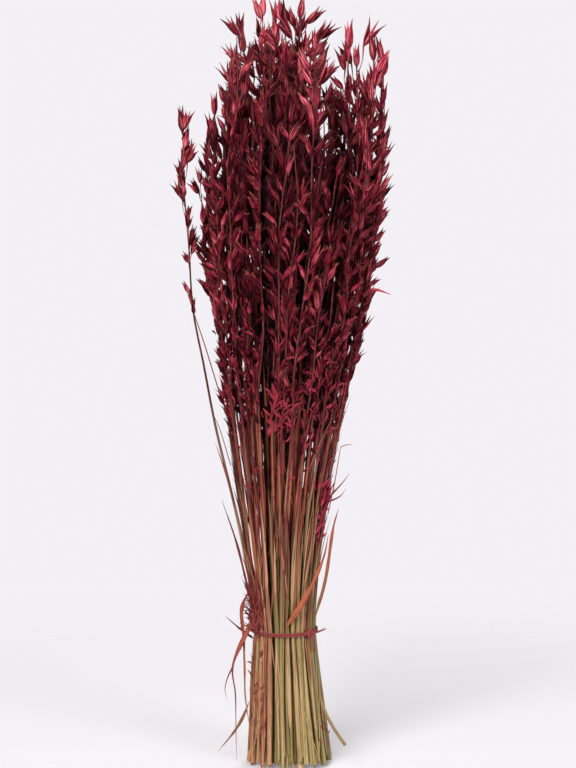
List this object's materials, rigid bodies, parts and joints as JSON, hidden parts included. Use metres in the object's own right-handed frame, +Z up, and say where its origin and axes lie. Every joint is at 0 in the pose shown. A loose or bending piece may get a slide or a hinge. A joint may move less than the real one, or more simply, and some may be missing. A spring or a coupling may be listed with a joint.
{
  "type": "dried oats bundle",
  "caption": "Tied sheaf of dried oats, dyed burgundy, that stands on its cut straw ends, with heads spreading into a crown.",
  "frame": {"origin": "middle of the cut end of the middle stalk, on the surface that the bundle stands on", "axes": "+Z up along the bundle from the cut ends to the heads, -Y towards the front that the picture shows, +X to its right"},
  "size_m": [0.1939, 0.1891, 0.6724],
  "materials": {
    "straw": "dry matt straw with a faint sheen",
    "burgundy": "dyed dry husk, matt",
    "rust": "dyed dry leaf, matt",
    "string": "twisted fibre string, matt"
  },
  "bodies": {
    "root": {"stems_01": "straw", "heads_01": "burgundy", "stems_02": "straw", "heads_02": "burgundy", "stems_03": "straw", "heads_03": "burgundy", "stems_04": "straw", "heads_04": "burgundy", "stems_05": "straw", "heads_05": "burgundy", "stems_06": "straw", "heads_06": "burgundy", "stems_07": "straw", "heads_07": "burgundy", "stems_08": "straw", "heads_08": "burgundy", "stems_09": "straw", "heads_09": "burgundy", "stems_10": "straw", "heads_10": "burgundy", "stems_11": "straw", "heads_11": "burgundy", "stems_12": "straw", "heads_12": "burgundy", "stems_13": "straw", "heads_13": "burgundy", "stems_14": "straw", "heads_14": "burgundy", "stems_15": "straw", "heads_15": "burgundy", "stems_16": "straw", "heads_16": "burgundy", "stems_17": "straw", "heads_17": "burgundy", "stems_18": "straw", "heads_18": "burgundy", "stems_19": "straw", "heads_19": "burgundy", "stems_20": "straw", "heads_20": "burgundy", "stems_21": "straw", "heads_21": "burgundy", "stems_22": "straw", "heads_22": "burgundy", "stems_23": "straw", "heads_23": "burgundy", "tie": "string", "leaf_left_hanging": "rust", "leaf_left_long": "rust", "leaf_left_upright": "rust", "leaf_left_stub": "rust", "leaf_left_foot": "rust", "leaf_front_strap": "rust", "leaf_right_long": "rust"}
  },
  "joints": []
}
